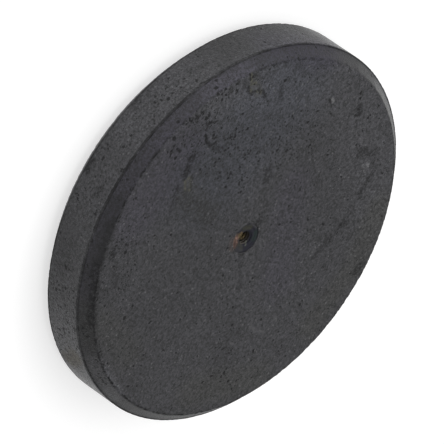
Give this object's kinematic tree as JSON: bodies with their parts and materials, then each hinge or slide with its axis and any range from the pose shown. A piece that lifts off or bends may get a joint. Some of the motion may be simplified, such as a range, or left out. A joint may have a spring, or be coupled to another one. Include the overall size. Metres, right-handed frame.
{
  "type": "disc magnet",
  "caption": "Flat sintered ferrite disc magnet, chamfered round both faces, with a small threaded brass bush through its centre.",
  "frame": {"origin": "centre of the underside, on the disc's axis", "axes": "+Z along the disc's axis, from the underside towards the upper face; the disc is round, so X and Y are any two directions across it"},
  "size_m": [0.05, 0.05, 0.008],
  "materials": {
    "ferrite": "matte",
    "brass": "satin"
  },
  "bodies": {
    "root": {"magnet_disc": "ferrite", "threaded_bush": "brass"}
  },
  "joints": []
}
